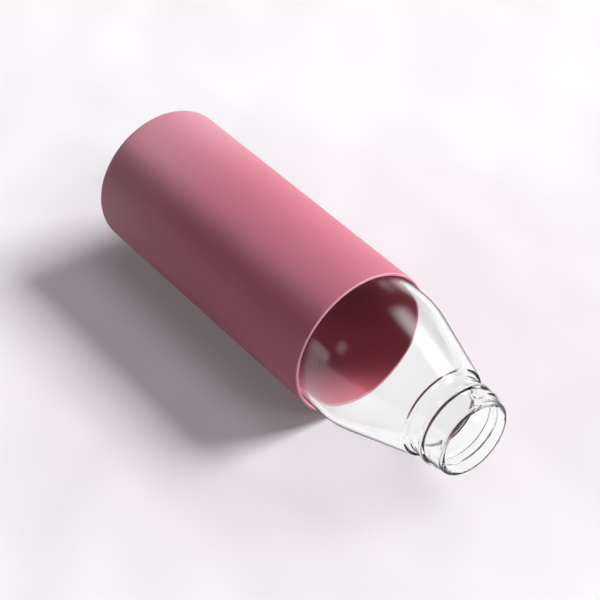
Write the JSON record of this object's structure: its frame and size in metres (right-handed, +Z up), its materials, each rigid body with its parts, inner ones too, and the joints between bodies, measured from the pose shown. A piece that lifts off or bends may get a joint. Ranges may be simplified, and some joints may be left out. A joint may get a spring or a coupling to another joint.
{
  "type": "glass water bottle",
  "caption": "Clear glass bottle with a tapered neck and screw finish, in a smooth pull-off silicone sleeve, lying on its side.",
  "frame": {"origin": "on the surface that the bottle lies on, under the middle of its length", "axes": "+X along the bottle's axis towards the mouth, +Z up from the surface that it lies on"},
  "size_m": [0.2232, 0.07, 0.07],
  "materials": {
    "clear_glass": "polished clear glass",
    "rose_silicone": "soft-touch matte silicone"
  },
  "bodies": {
    "bottle": {"glass_bottle": "clear_glass"},
    "sleeve": {"silicone_sleeve": "rose_silicone"}
  },
  "joints": [
    {"name": "sleeve_slide", "type": "slide", "parent": "bottle", "child": "sleeve", "axis": [-1, 0, 0], "range_m": [0, 0.155]}
  ]
}
